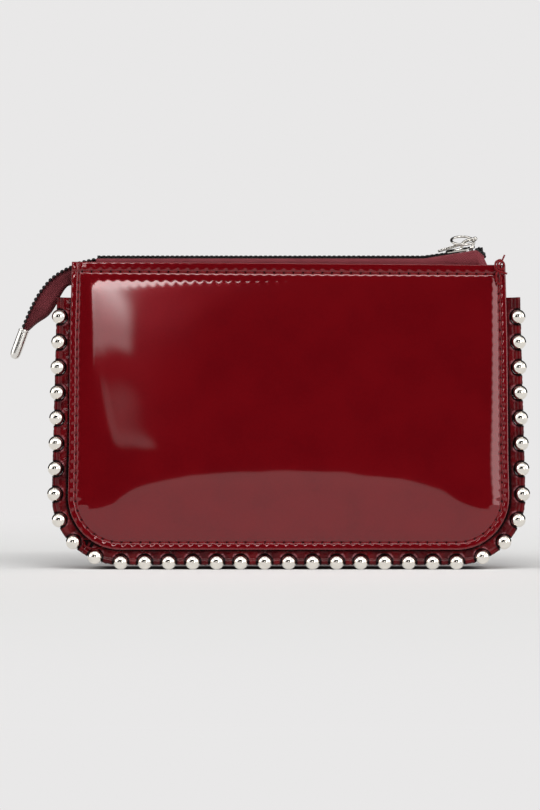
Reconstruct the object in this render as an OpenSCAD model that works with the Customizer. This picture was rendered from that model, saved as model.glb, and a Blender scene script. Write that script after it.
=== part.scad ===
// Flat zip pouch wallet in patent leather with a bead-trimmed edge.
// Frame: X along the width, -Y towards the front panel, +Z up.
// The origin is where the bottom row of beads stands, at the middle of the width.

/* [Pouch] */
// Widest width of a panel, across the two bottom corners
body_w = 201; // [170:1:230]
// Height of a panel
body_h = 130.9; // [115:0.1:150]
// Radius of a panel's bottom corners
corner_r = 24; // [18:0.5:32]
// Angle by which each side leans in towards the top
splay = 1.3; // [0:0.1:3]
// Thickness of the pouch across the panels at the bottom
depth = 25; // [20:0.5:34]
// Thickness of the patent leather of a panel
panel_t = 1.4; // [1.1:0.1:1.8]
// How far the padded middle of a panel stands out from its rim
swell_h = 3; // [2:0.1:4]
// How far the padding stands out where it begins inside the stitches
swell_edge = 0.7; // [0.4:0.1:1.2]
// How much of the padding's crown is pressed flat
swell_flat = 0.4; // [0.2:0.1:0.8]
// Distance from a panel's edge to where its padding begins
swell_in = 5.5; // [5.5:0.1:9]
// Thickness of the gusset leather
gusset_t = 1; // [0.7:0.1:1.4]
// Width of the rim that is stitched to a panel, from edge to gusset wall
rim_w = 5; // [4:0.5:8]
// How far below the panel's top edge the gusset and the bead strip end
gusset_below = 16.2; // [10:0.1:24]
// Thickness of the stiffening board behind a panel
board_t = 0.8; // [0.5:0.1:0.9]
// Thickness of the lining cloth
lining_t = 0.5; // [0.3:0.1:0.8]

/* [Bead trim] */
// Diameter of a bead
bead_d = 6.6; // [5:0.2:8]
// Distance from a panel's edge to the line of bead centres
bead_offset = 6.2; // [5:0.1:9]
// Number of beads along the straight bottom
bottom_beads = 15; // [9:1:17]
// Number of beads round each corner, between the straight runs
corner_beads = 3; // [2:1:4]
// Number of beads up each straight side
side_beads = 8; // [4:1:9]
// How far below the panel's top edge the uppermost bead sits
top_bead_below = 25.2; // [22:0.5:40]
// Outer radius of the leather fold that carries the cord
fold_r = 1.4; // [1.2:0.1:1.8]
// Radius of the cord that the beads are strung on
cord_r = 0.6; // [0.4:0.05:0.8]

/* [Stitching] */
// Distance between stitches
stitch_pitch = 4.35; // [3:0.05:6]
// Diameter of the sewing thread
thread_d = 0.6; // [0.4:0.05:0.7]
// Distance of the perimeter stitches from a panel's edge
stitch_inset = 3.3; // [2.5:0.1:4]
// Distance of the top stitches from a panel's top edge
top_stitch_inset = 4.5; // [3.5:0.1:6]

/* [Zip] */
// Distance between neighbouring teeth of one row
tooth_pitch = 2.25; // [2:0.05:2.6]
// Height of a tooth, from its underside to its top
tooth_h = 1.8; // [1.6:0.1:2.4]
// Height of the chain's middle above a panel's top edge
chain_rise = 2.1; // [1.8:0.1:3.5]
// Distance in from the pouch's right side at which the chain begins to rise
rise_in = 38.5; // [32:0.5:45]
// Angle at which the chain's closed end rises
chain_tilt = 8; // [0:0.5:10]
// Thickness of the zip tape
tape_t = 0.5; // [0.3:0.05:0.55]
// How far the tapes hang below the chain inside the pouch
tape_drop_w = 8; // [7:0.1:11]
// Distance in from the pouch's left side at which the zip leaves the pouch
tail_in = 12.5; // [9:0.5:16]
// Length of bare tape beyond the top stops
tape_over = 0.8; // [0.4:0.1:2]

/* [Slider] */
// Distance in from the pouch's right side of the closed slider's middle
slider_in = 21; // [19.5:0.1:25]
// How far the slider runs along the chain
slider_travel = 155; // [120:1:156]
// Length of the slider
slider_len = 13; // [11:0.5:14]
// Width of the slider
slider_w = 8.8; // [8:0.1:9.2]
// Thickness of each slider plate
plate_t = 0.8; // [0.7:0.05:1]
// Height of the crown above the upper plate
crown_h = 4.4; // [4.4:0.1:5.5]
// Length of the pull link beyond its pivot
link_len = 12.2; // [10:0.2:14]
// Width of the pull link
link_w = 4.4; // [4.2:0.1:5]
// Thickness of the pull link
link_t = 1.1; // [0.9:0.05:1.15]
// Outer diameter of the pull ring
ring_d = 10.6; // [9.6:0.2:11.4]
// Diameter of the pull ring's wire
ring_wire = 0.7; // [0.5:0.05:0.75]

/* [Zip tail] */
// Length of chain that hangs past the pouch
tail_len = 51; // [44:1:58]
// Width of the folded tape in the tail, from the chain's middle
tail_w = 8.2; // [7:0.1:8.4]
// Steepest angle of the tail below level
tail_droop = 69.5; // [60:0.5:70]
// Outer diameter of the metal end cap
cap_d = 4.7; // [4.4:0.1:6]
// Length of the end cap
cap_len = 14; // [10:0.5:18]

/* [Card pockets] */
// Width of the card pockets
pocket_w = 98; // [92:1:110]
// Height of the rear card pocket
pocket_h = 74; // [60:1:80]
// Depth of the space that each card pocket leaves for cards
pocket_gap = 1.1; // [0.8:0.1:1.5]

/* [Hidden] */
$fn = 48;

ply_gap = 0.1;                       // air between layers that are sewn together
eps = 0.01;

// Heights
bead_axis_z = bead_d / 2;            // the bottom beads stand on the floor
leg_y = slider_w / 2 + 1.2;          // where the tape hangs, clear of the slider

// The panels lean together towards the top, where the tapes hang between them
top_half = leg_y + tape_t / 2 + ply_gap + panel_t;
lean = atan((depth / 2 - top_half) / body_h);
ply2 = panel_t + ply_gap;            // second layer: gusset rim, board and tape
casing_t = 1.4;                      // two layers of the folded strip
strip_at = ply2 + casing_t / 2;      // the strip's middle below the front panel's face
panel_z0 = ceil(100 * (bead_axis_z + bead_offset * cos(lean) + strip_at * sin(lean))) / 100;
panel_top = panel_z0 + body_h;
cx = body_w / 2 - corner_r;          // centres of the bottom corners
cz = panel_z0 + corner_r;
gusset_top = panel_top - gusset_below;
top_bead_z = panel_top - top_bead_below;
rise_from = body_w / 2 - rise_in;
tail_start = tail_in - body_w / 2;
slider_at = body_w / 2 - slider_in;
chain_z = panel_top + chain_rise;    // the chain is level up to where it rises

// Zip cross-section
tooth_reach = 2.9;                   // from the chain's middle to the outer end of a tooth
tooth_head = 0.8;                    // how far a head crosses the chain's middle
tooth_neck = 1;                      // where the head joins the wide legs
tooth_leg_t = 1.3;
tooth_head_t = 0.95;
tape_drop = 0.25;                    // the tape leaves the teeth a little below their middle
channel_h = tooth_h + 0.4;           // inside the slider
flange_y = tooth_reach + 0.3;        // inner face of the slider's side flanges
bend_r = leg_y - slider_w / 2 + 0.2; // bend of the tape's middle
slot_top = 0.3;
slot_bottom = -0.8;
slider_top = channel_h / 2 + plate_t;

front_rim_at = ply2 + casing_t + ply_gap;   // the front gusset's rim lies behind the strip
lining_in = ply2 + gusset_t + ply_gap;
pocket_in = lining_in + lining_t + ply_gap / 2;
groove_d = thread_d + 0.1;           // the stitches lie below the panel's face
groove_w = thread_d + 0.25;

// Bead trim
bead_R = corner_r + bead_offset;     // corner radius of the line of beads
notch_r = bead_d / 2 + 0.35;
casing_in = rim_w + 0.9;             // how far the strip reaches inside the panel's edge
seam_in = rim_w + 4.3;               // how far the gusset's middle seam turns inwards
seam_y = ply_gap / 2;                // the gusset halves meet on the pouch's middle
casing_end_gap = 0.3;
bead_bore_r = cord_r + 0.1;
cord_joint = 0.02;
side_run = (top_bead_z - cz - bead_R * sin(splay)) / cos(splay);
arc_run = bead_R * (90 + splay) * PI / 180;
side_pitch = side_run / (side_beads - 1);
corner_pitch = (90 + splay) / (corner_beads + 1);
splice_angle = 1.5 * corner_pitch;   // the two strips meet between two of the corner beads

// Lengths along the edge
function arc_length(R) = R * (90 + splay) * PI / 180;
function side_length(R, top) = (top - cz - R * sin(splay)) / cos(splay);
// X of the side line whose corner radius is R, at height z
function side_x(R, z) = cx + R * cos(splay) - (z - cz - R * sin(splay)) * tan(splay);

// Point and heading on the edge line of corner radius R, at distance d from the bottom's middle
function right_point(R, d) =
    d <= cx ? [d, cz - R, 0]
    : d <= cx + arc_length(R) ?
        let (a = (d - cx) / R * 180 / PI) [cx + R * sin(a), cz - R * cos(a), a]
    : let (e = d - cx - arc_length(R))
        [cx + R * cos(splay) - e * sin(splay), cz + R * sin(splay) + e * cos(splay), 90 + splay];
function edge_point(R, d) =
    let (p = right_point(R, abs(d))) d < 0 ? [-p[0], p[1], -p[2]] : p;

bead_bottom_at = [for (i = [0:bottom_beads - 1]) -cx + 2 * cx * i / (bottom_beads - 1)];
bead_side_at = concat(
    [for (i = [1:corner_beads]) cx + arc_run * i / (corner_beads + 1)],
    [for (i = [0:side_beads - 1]) cx + arc_run + side_pitch * i]
);

// ---------- frames ----------

// Draws in X and height, with the depth along the drawing's third axis towards -Y
module upright() {
    rotate([90, 0, 0]) children();
}

// Stands a drawing of one panel in place: its third axis is depth below the outer face
module front_sheet(from, to) {
    translate([0, -depth / 2, panel_z0])
        rotate([-lean, 0, 0])
            translate([0, 0, -panel_z0])
                upright()
                    translate([0, 0, -to])
                        linear_extrude(to - from)
                            children();
}

// Stands children on the chain's middle, at a distance along it from the pouch's middle
module on_chain(at) {
    if (at <= rise_from)
        translate([at, 0, chain_z]) children();
    else
        translate([rise_from, 0, chain_z])
            rotate([0, -chain_tilt, 0])
                translate([at - rise_from, 0, 0]) children();
}

module rear() {
    mirror([0, 1, 0]) children();
}

// ---------- outlines ----------

// Panel outline taken in by g all round, with a straight top
module pouch_outline(g, top) {
    R = corner_r - g;
    for (side = [-1, 1])
        translate([side * cx, cz]) circle(r = R);
    polygon([
        [-cx, cz - R], [cx, cz - R],
        [cx + R * cos(splay), cz + R * sin(splay)], [side_x(R, top), top],
        [-side_x(R, top), top], [-cx - R * cos(splay), cz + R * sin(splay)],
    ]);
}

// Open band between two insets, up to a height
module edge_band(g_out, g_in, top) {
    difference() {
        pouch_outline(g_out, top);
        pouch_outline(g_in, top + 1);
    }
}

// ---------- panels ----------

// Places children in a panel's own frame, with depth below its face along Y
module on_face() {
    translate([0, -depth / 2, panel_z0])
        rotate([-lean, 0, 0])
            translate([0, 0, -panel_z0])
                children();
}

// Radius of an arc that falls by drop over half a width
function arc_r(half, drop) = (half * half + drop * drop) / (2 * drop);

// The padded middle of a panel, crowned over its height and over its width
module swell() {
    drop = swell_h - swell_edge;
    r_high = arc_r(body_h / 2 - swell_in, drop);
    r_wide = arc_r(body_w / 2 - swell_in, drop);
    intersection() {
        front_sheet(swell_flat - swell_h, panel_t / 2)
            pouch_outline(swell_in, panel_top - swell_in);
        on_face()
            translate([0, r_high - swell_h, (panel_z0 + panel_top) / 2])
                rotate([0, 90, 0]) cylinder(r = r_high, h = 2 * body_w, center = true, $fn = 720);
        on_face()
            translate([0, r_wide - swell_h, 0])
                cylinder(r = r_wide, h = 3 * body_h, center = true, $fn = 720);
    }
}

module panel() {
    color([0.42, 0.02, 0.05])
        union() {
            flat_panel();
            swell();
        }
}

module flat_panel() {
    difference() {
        front_sheet(0, panel_t) pouch_outline(0, panel_top);
        front_sheet(-1, groove_d)
            edge_band(stitch_inset - groove_w / 2, stitch_inset + groove_w / 2,
                panel_top - top_stitch_inset);
        front_sheet(-1, groove_d)
            translate([0, panel_top - top_stitch_inset])
                square([2 * (side_x(corner_r, panel_top) - stitch_inset), groove_w], center = true);
    }
}

module stiffener() {
    color([0.75, 0.70, 0.60])
        front_sheet(ply2, ply2 + board_t)
            pouch_outline(rim_w + gusset_t + 0.3, chain_z - tape_drop_w - 1);
}

module lining() {
    color([0.05, 0.04, 0.05])
        front_sheet(lining_in, lining_in + lining_t)
            pouch_outline(rim_w + gusset_t + 0.3, panel_top - 3.5);
}

// One stitch of thread along its own X
module stitch() {
    length = stitch_pitch * 0.72;
    translate([-length / 2, 0, 0])
        rotate([0, 90, 0]) cylinder(d = thread_d, h = length, $fn = 16);
}

// Places children on a panel's face, in X, height and depth below the face
module on_panel(x, z, angle, below) {
    translate([0, -depth / 2, panel_z0])
        rotate([-lean, 0, 0])
            translate([x, below, z - panel_z0])
                rotate([0, -angle, 0])
                    children();
}

module perimeter_stitching() {
    R = corner_r - stitch_inset;
    top = panel_top - top_stitch_inset - stitch_pitch / 2;
    run = cx + arc_length(R) + side_length(R, top);
    count = floor(run / stitch_pitch);
    color([0.45, 0.05, 0.09])
        for (i = [-count:count]) {
            p = edge_point(R, i * stitch_pitch);
            on_panel(p[0], p[1], p[2], groove_d / 2) stitch();
        }
}

module top_stitching() {
    z = panel_top - top_stitch_inset;
    half = side_x(corner_r - stitch_inset, z) - stitch_pitch / 2;
    count = floor(half / stitch_pitch);
    color([0.45, 0.05, 0.09])
        for (i = [-count:count])
            on_panel(i * stitch_pitch, z, 0, groove_d / 2) stitch();
}

// ---------- gusset ----------

// Everything deeper than a depth below the front face, as a cutter's complement
module in_front_of(t) {
    translate([0, -depth / 2, panel_z0])
        rotate([-lean, 0, 0])
            translate([-body_w, t - 2 * depth, -2 * panel_z0])
                cube([2 * body_w, 2 * depth, body_h * 2]);
}

// One half of the gusset; its rim is sewn on at a depth below the panel's face
module gusset(rim_at) {
    color([0.40, 0.02, 0.05]) {
        union() {
            front_sheet(rim_at, rim_at + gusset_t)
                edge_band(0.5, rim_w + gusset_t, gusset_top);
            difference() {
                translate([0, -seam_y, 0])
                    upright() linear_extrude(depth / 2 - seam_y)
                        edge_band(rim_w, rim_w + gusset_t, gusset_top);
                in_front_of(rim_at);
            }
            translate([0, -seam_y, 0])
                upright() linear_extrude(gusset_t)
                    edge_band(rim_w, seam_in, gusset_top);
        }
    }
}

module gusset_lining() {
    color([0.06, 0.05, 0.06])
        difference() {
            translate([0, -ply_gap, 0])
                upright() linear_extrude(depth / 2 - ply_gap)
                    edge_band(seam_in + 0.5, seam_in + 0.5 + lining_t, gusset_top - 2);
            in_front_of(pocket_in);
        }
}

// ---------- bead trim ----------

// Stands children on the strip's middle plane, just behind the front panel
module on_strip() {
    on_face()
        translate([0, strip_at, 0])
            children();
}

// Sweeps a profile (outward, depth) down the right side line of corner radius R
module sweep_side(R, top, short = 0) {
    e = side_length(R, top);
    p = [cx + R * cos(splay) - e * sin(splay), cz + R * sin(splay) + e * cos(splay)];
    translate([p[0], p[1], 0])
        rotate([90, 0, splay]) linear_extrude(e - short) children();
}

// Sweeps a profile round the right corner between two angles up from the bottom
module sweep_corner(R, from, to) {
    translate([cx, cz, 0])
        rotate([0, 0, from - 90])
            rotate_extrude(angle = to - from, $fn = 96)
                translate([R, 0]) children();
}

module sweep_bottom(R, short = 0) {
    translate([cx - short, cz - R, 0])
        rotate([90, 0, -90]) linear_extrude(2 * (cx - short)) children();
}

// Section of the folded strip: the fold round the cord and its flat double layer
module casing_section() {
    difference() {
        union() {
            circle(r = fold_r);
            translate([-bead_offset - casing_in, -casing_t / 2])
                square([bead_offset + casing_in, casing_t]);
        }
        circle(r = cord_r + ply_gap);
    }
}

// Round cut-outs in the strip, one for each bead
module notches(at, side) {
    for (d = at) {
        p = edge_point(bead_R, side * d);
        translate([p[0], p[1], -bead_d])
            cylinder(r = notch_r, h = 2 * bead_d);
    }
}

module casing_main() {
    color([0.38, 0.02, 0.05])
        on_strip() upright() difference() {
            union() {
                sweep_side(bead_R, gusset_top) casing_section();
                sweep_corner(bead_R, 0, 90 + splay) casing_section();
                sweep_bottom(bead_R) casing_section();
                mirror([1, 0, 0]) sweep_corner(bead_R, 0, splice_angle) casing_section();
            }
            notches(bead_bottom_at, 1);
            notches(bead_side_at, 1);
            notches(bead_side_at, -1);
        }
}

module casing_left() {
    gap_angle = casing_end_gap / bead_R * 180 / PI;
    color([0.38, 0.02, 0.05])
        on_strip() upright() difference() {
            mirror([1, 0, 0]) union() {
                sweep_side(bead_R, gusset_top) casing_section();
                sweep_corner(bead_R, splice_angle + gap_angle, 90 + splay) casing_section();
            }
            notches(bead_side_at, -1);
        }
}

// The cord, in lengths that lie end to end
module cord() {
    top = gusset_top - 3;
    color([0.30, 0.03, 0.06])
        on_strip() upright() {
            sweep_bottom(bead_R, cord_joint) circle(r = cord_r);
            for (side = [0, 1])
                mirror([side, 0, 0]) {
                    sweep_corner(bead_R, 0, 90 + splay) circle(r = cord_r);
                    sweep_side(bead_R, top, cord_joint) circle(r = cord_r);
                }
        }
}

module bead(d) {
    p = edge_point(bead_R, d);
    color([0.80, 0.79, 0.77])
        on_strip() translate([p[0], 0, p[1]])
            rotate([0, 90 - p[2], 0])
                rotate_extrude()
                    difference() {
                        circle(d = bead_d);
                        translate([-bead_d, -bead_d])
                            square([bead_d + bead_bore_r, 2 * bead_d]);
                    }
}

// ---------- zip ----------

// Section of the front tape in depth and height, from the chain's middle
module tape_section() {
    bend_y = -leg_y + bend_r;
    top = -tape_drop + tape_t / 2;
    translate([bend_y, -tape_drop - tape_t / 2])
        square([-tooth_reach - ply_gap / 2 - bend_y, tape_t]);
    intersection() {
        translate([bend_y, top - tape_t / 2 - bend_r])
            difference() {
                circle(r = bend_r + tape_t / 2);
                circle(r = bend_r - tape_t / 2);
            }
        translate([bend_y - 2 * bend_r, top - tape_t / 2 - bend_r])
            square([2 * bend_r, 2 * bend_r]);
    }
    translate([-leg_y - tape_t / 2, -tape_drop_w])
        square([tape_t, tape_drop_w + top - tape_t / 2 - bend_r]);
}

// One straight stretch of tape: its section drawn out along X, from and to a place
module tape_stretch(from, to) {
    translate([from, 0, 0])
        rotate([90, 0, 90]) linear_extrude(to - from) tape_section();
}

// Everything on the far side of the fold line where the chain begins to rise
module beyond_fold(side) {
    rotate([0, -chain_tilt / 2, 0])
        translate([side > 0 ? eps : -60 - eps, -20, -30])
            cube([60, 40, 60]);
}

module zip_tape() {
    spare = tape_drop_w * tan(chain_tilt) + 1;
    color([0.36, 0.08, 0.12])
        translate([rise_from, 0, chain_z]) union() {
            difference() {
                tape_stretch(tail_start - rise_from, spare);
                beyond_fold(1);
            }
            difference() {
                rotate([0, -chain_tilt, 0])
                    tape_stretch(-spare, tape_end - rise_from);
                beyond_fold(-1);
            }
        }
}

// One tooth of the front row, with its head reaching to a given depth
module tooth(tip) {
    translate([-tooth_leg_t / 2, -tooth_reach, -tooth_h / 2])
        cube([tooth_leg_t, tooth_reach - tooth_neck, tooth_h]);
    translate([-tooth_head_t / 2, -tooth_neck - eps, -tooth_h / 2 + 0.3])
        cube([tooth_head_t, tooth_neck + tip + eps, tooth_h - 0.6]);
}

first_tooth = tail_start + tooth_leg_t / 2 + 0.3;
row_end = slider_at + 1.2;           // the rows part inside the slider, before its post
row_count = floor((row_end - first_tooth) / tooth_pitch);
row_at = [for (i = [0:row_count - 1]) first_tooth + i * tooth_pitch];
end_tooth = slider_at + slider_len / 2 + tooth_leg_t / 2 + 0.3;
stop_len = 1.4;
stop_at = end_tooth + tooth_leg_t / 2 + 0.45;
tape_end = stop_at + stop_len + tape_over;

module teeth(shift) {
    color([0.05, 0.05, 0.05]) {
        for (at = row_at)
            on_chain(at + shift) tooth(tooth_head);
        on_chain(end_tooth) tooth(-0.15);
    }
}

module top_stop() {
    color([0.10, 0.02, 0.03])
        on_chain(stop_at)
            translate([0, -tooth_reach, -tooth_h / 2])
                cube([stop_len, tooth_reach - 0.5, tooth_h]);
}

// ---------- slider ----------

module slider_frame() {
    on_chain(slider_at) children();
}

// Plan of a slider plate: square at the back, with a narrower rounded nose
module plate_plan() {
    nose_r = slider_w * 0.3;
    translate([-slider_len / 2, -slider_w / 2])
        square([slider_len - nose_r, slider_w]);
    for (side = [-1, 1])
        translate([slider_len / 2 - nose_r, side * (slider_w / 2 - nose_r)])
            circle(r = nose_r);
    translate([slider_len / 2 - nose_r, -slider_w / 2 + nose_r])
        square([nose_r, slider_w - 2 * nose_r]);
}

module slider_casting() {
    post_r = 0.9;
    flange_len = slider_len * 0.72;
    color([0.78, 0.77, 0.75])
        slider_frame() {
            union() {
                for (side = [-1, 1])
                    translate([0, 0, side > 0 ? channel_h / 2 : -slider_top])
                        linear_extrude(plate_t) plate_plan();
                for (side = [-1, 1])
                    translate([-slider_len / 2, side > 0 ? flange_y : -slider_w / 2, 0]) {
                        translate([0, 0, slot_top])
                            cube([flange_len, slider_w / 2 - flange_y, slider_top - slot_top - eps]);
                        translate([0, 0, -slider_top + eps])
                            cube([flange_len, slider_w / 2 - flange_y, slider_top + slot_bottom - eps]);
                    }
                translate([slider_len / 2 - 1.7, 0, -slider_top + eps])
                    cylinder(r = post_r, h = 2 * slider_top - 2 * eps);
            }
        }
}

crown_w = 1.5;                       // across the slider
crown_strip = 0.8;                   // thickness of the arched strip
crown_half = 3.4;
crown_x = slider_len / 2 - 0.3 - crown_half;
crown_r = 1.4;
crown_roof = slider_top + crown_h - crown_strip;

// Crown drawn from the side, taken in by g all round and open below
module crown_side(g) {
    for (side = [-1, 1])
        translate([side * (crown_half - crown_r), crown_h - crown_r])
            circle(r = crown_r - g);
    translate([-crown_half + g, 0 - g])
        square([2 * (crown_half - g), crown_h - crown_r + g]);
    translate([-crown_half + crown_r, 0 - g])
        square([2 * (crown_half - crown_r), crown_h]);
}

// The crown: an arched strip that stands on the upper plate and holds the pull
module crown() {
    color([0.80, 0.79, 0.77])
        slider_frame()
            translate([crown_x, crown_w / 2, slider_top])
                rotate([90, 0, 0]) linear_extrude(crown_w)
                    difference() {
                        crown_side(0);
                        crown_side(crown_strip);
                    }
}

// Slotted link, whose end bar turns in the crown and which lies back over the chain
link_bar = 1.1;                      // width of the metal round the slot
link_slope = 9;                      // below the slider's own slope
pivot_x = crown_x - crown_half + crown_strip + link_bar / 2 + 0.9;
pivot_z = crown_roof - 1.6;
module link_plan(g) {
    r = link_w / 2;
    for (x = [-link_len + r, link_bar / 2 - r])
        translate([x, 0]) circle(r = r - g);
    translate([-link_len + r, -r + g])
        square([link_len + link_bar / 2 - 2 * r, 2 * (r - g)]);
}

module pull_link() {
    color([0.80, 0.79, 0.77])
        slider_frame()
            translate([pivot_x, 0, pivot_z])
                rotate([0, -link_slope, 0])
                    translate([0, 0, -link_t / 2])
                        linear_extrude(link_t)
                            difference() {
                                link_plan(0);
                                link_plan(link_bar);
                            }
}

// Round ring that hangs through the crown's closed-end side and lies over the slider
ring_lean = 20;
ring_x = crown_x + crown_half - crown_strip - ring_wire / 2 - 0.4;
ring_z = crown_roof - ring_wire / 2 - 0.25;
module pull_ring() {
    R = (ring_d - ring_wire) / 2;
    color([0.82, 0.81, 0.79])
        slider_frame()
            translate([ring_x, 0, ring_z])
                rotate([ring_lean, 0, 0])
                    translate([-R, 0, 0])
                        rotate_extrude($fn = 64)
                            translate([R, 0]) circle(d = ring_wire, $fn = 24);
}

// ---------- zip tail ----------

// The tail's angle below level grows along it and settles at tail_droop
function tail_angle(s) =
    tail_droop * (1 - pow(1 - min(1, max(0, s / tail_len)), tail_ease));
tail_ease = 1.55;
tail_steps = 24;
tail_step = tail_len / tail_steps;
// Points of the chain's middle line in X and height, from where it leaves the pouch
function tail_sum(i) =
    i == 0 ? [tail_origin[0], tail_origin[1]]
    : let (a = tail_angle((i - 0.5) * tail_step), p = tail_sum(i - 1))
        [p[0] - tail_step * cos(a), p[1] - tail_step * sin(a)];
tail_origin = [tail_start, chain_z];
function tail_point(s) =
    let (i = min(tail_steps - 1, floor(s / tail_step)), p = tail_sum(i),
         a = tail_angle((i + 0.5) * tail_step), e = s - i * tail_step)
        [p[0] - e * cos(a), p[1] - e * sin(a), tail_angle(s)];
// Inner side of the tape: a distance w below the chain, square to it
function tail_offset(s, w) =
    let (p = tail_point(s)) [p[0] + w * sin(p[2]), p[1] - w * cos(p[2])];
cap_spare = 0.75;                    // room round the folded tape in the cap's mouth
tail_narrow = cap_d - 2 * cap_spare; // the tape's folded width where it enters the cap
tail_neck_from = 0.6;                // share of the tail at which the tape begins to narrow
function tail_width(s) =
    let (u = max(0, (s / tail_len - tail_neck_from) / (1 - tail_neck_from)))
        tail_w + (tail_narrow + tail_under - tail_w) * u * u * (3 - 2 * u);
tail_under = tooth_h / 2 + ply_gap;  // the tape begins just below the teeth
tail_ply = 0.45;                     // half the space between the two folded tapes
cap_bore_r = cap_d / 2 - 0.4;
cap_grip = 5;                        // how far the tapes reach into the cap

// Middle of the folded tape where it enters the cap, and the cap's direction
cap_angle = tail_angle(tail_len);
cap_mouth = tail_offset(tail_len, tail_under + tail_narrow / 2);

module tail_tape() {
    top = [for (i = [0:tail_steps]) tail_offset(i * tail_step, tail_under)];
    low = [for (i = [tail_steps:-1:0]) tail_offset(i * tail_step, tail_width(i * tail_step))];
    color([0.36, 0.08, 0.12])
        translate([0, -tail_ply, 0])
            upright() linear_extrude(tape_t) {
                polygon(concat(top, low));
                translate(cap_mouth)
                    rotate(180 + cap_angle)
                        translate([-eps, -tail_narrow / 2 + eps])
                            square([cap_grip, tail_narrow - 2 * eps]);
            }
}

tail_first = tooth_pitch * 0.75;
tail_tooth_count = floor((tail_len - tail_first - 2) / tooth_pitch);

module tail_teeth(shift) {
    color([0.05, 0.05, 0.05])
        for (i = [0:tail_tooth_count - 1]) {
            p = tail_point(tail_first + i * tooth_pitch + shift);
            translate([p[0], 0, p[1]])
                rotate([0, -p[2], 0]) tooth(tooth_head);
        }
}

// Clip over the last teeth
module tail_stop() {
    p = tail_point(tail_len - 0.9);
    color([0.80, 0.79, 0.77])
        translate([p[0], 0, p[1]])
            rotate([0, -p[2], 0])
                translate([-0.7, -1.6, -tooth_h / 2])
                    cube([1.4, 3.2, tooth_h]);
}

module end_cap() {
    straight = cap_len - cap_d / 2;
    color([0.82, 0.81, 0.79])
        translate([cap_mouth[0], 0, cap_mouth[1]])
            rotate([0, -90 - cap_angle, 0])
                rotate_extrude()
                    difference() {
                        union() {
                            square([cap_d / 2, straight]);
                            intersection() {
                                translate([0, straight]) circle(d = cap_d);
                                translate([0, straight - eps]) square(cap_d);
                            }
                        }
                        translate([-1, -1]) square([cap_bore_r + 1, cap_grip + 2]);
                    }
}

// ---------- card pockets ----------

// A shallow tray sewn on the rear lining, open at the top
module card_pocket(tier, height) {
    from = pocket_in + tier * (pocket_gap + lining_t + ply_gap);
    z0 = cz + 4;
    front_shell = from + pocket_gap;
    seam = 2;
    color([0.10, 0.08, 0.09])
        difference() {
            front_sheet(from, front_shell + lining_t)
                translate([-pocket_w / 2, z0]) square([pocket_w, height]);
            front_sheet(from - 1, front_shell)
                translate([-pocket_w / 2 + seam, z0 + seam])
                    square([pocket_w - 2 * seam, height]);
        }
}

// ---------- nodes ----------

panel();  // front_panel
stiffener();  // front_stiffener
lining();  // front_lining
gusset(front_rim_at);  // front_gusset
gusset_lining();  // front_gusset_lining
perimeter_stitching();  // front_perimeter_stitching
top_stitching();  // front_top_stitching
rear() panel();  // rear_panel
rear() stiffener();  // rear_stiffener
rear() lining();  // rear_lining
rear() gusset(ply2);  // rear_gusset
rear() gusset_lining();  // rear_gusset_lining
rear() perimeter_stitching();  // rear_perimeter_stitching
rear() top_stitching();  // rear_top_stitching
rear() card_pocket(0, pocket_h);  // card_pocket_rear
rear() card_pocket(1, pocket_h * 0.72);  // card_pocket_front
casing_left();  // bead_casing_left
casing_main();  // bead_casing_main
cord();  // bead_cord
for (d = bead_side_at) bead(-d);  // beads_left
for (d = bead_bottom_at) bead(d);  // beads_bottom
for (d = bead_side_at) bead(d);  // beads_right
zip_tape();  // zip_tape_front
rear() zip_tape();  // zip_tape_rear
teeth(0);  // zip_teeth_front
rear() teeth(tooth_pitch / 2);  // zip_teeth_rear
top_stop();  // top_stop_front
rear() top_stop();  // top_stop_rear
slider_casting();  // slider_body
crown();  // slider_crown
pull_link();
pull_ring();
tail_tape();  // tail_tape_front
rear() tail_tape();  // tail_tape_rear
tail_teeth(0);  // tail_teeth_front
rear() tail_teeth(tooth_pitch / 2);  // tail_teeth_rear
tail_stop();
end_cap();  // tail_end_cap
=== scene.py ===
"""Patent leather zip pouch with a bead trim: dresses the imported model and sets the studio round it."""
import math

import bmesh
import bpy
from mathutils import Matrix, Vector, noise


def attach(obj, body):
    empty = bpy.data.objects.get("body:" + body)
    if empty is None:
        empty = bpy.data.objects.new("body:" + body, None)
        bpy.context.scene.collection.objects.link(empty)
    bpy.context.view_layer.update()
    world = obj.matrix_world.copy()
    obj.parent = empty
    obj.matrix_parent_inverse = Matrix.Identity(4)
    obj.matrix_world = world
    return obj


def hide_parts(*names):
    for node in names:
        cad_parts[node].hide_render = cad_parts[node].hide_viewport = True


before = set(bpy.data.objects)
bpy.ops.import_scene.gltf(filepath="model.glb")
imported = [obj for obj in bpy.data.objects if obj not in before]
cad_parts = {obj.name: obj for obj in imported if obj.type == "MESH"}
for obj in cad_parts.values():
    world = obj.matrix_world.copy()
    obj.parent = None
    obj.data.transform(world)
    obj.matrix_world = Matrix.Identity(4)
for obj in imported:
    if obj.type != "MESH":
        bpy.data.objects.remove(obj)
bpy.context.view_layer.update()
MM = 0.001

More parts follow.
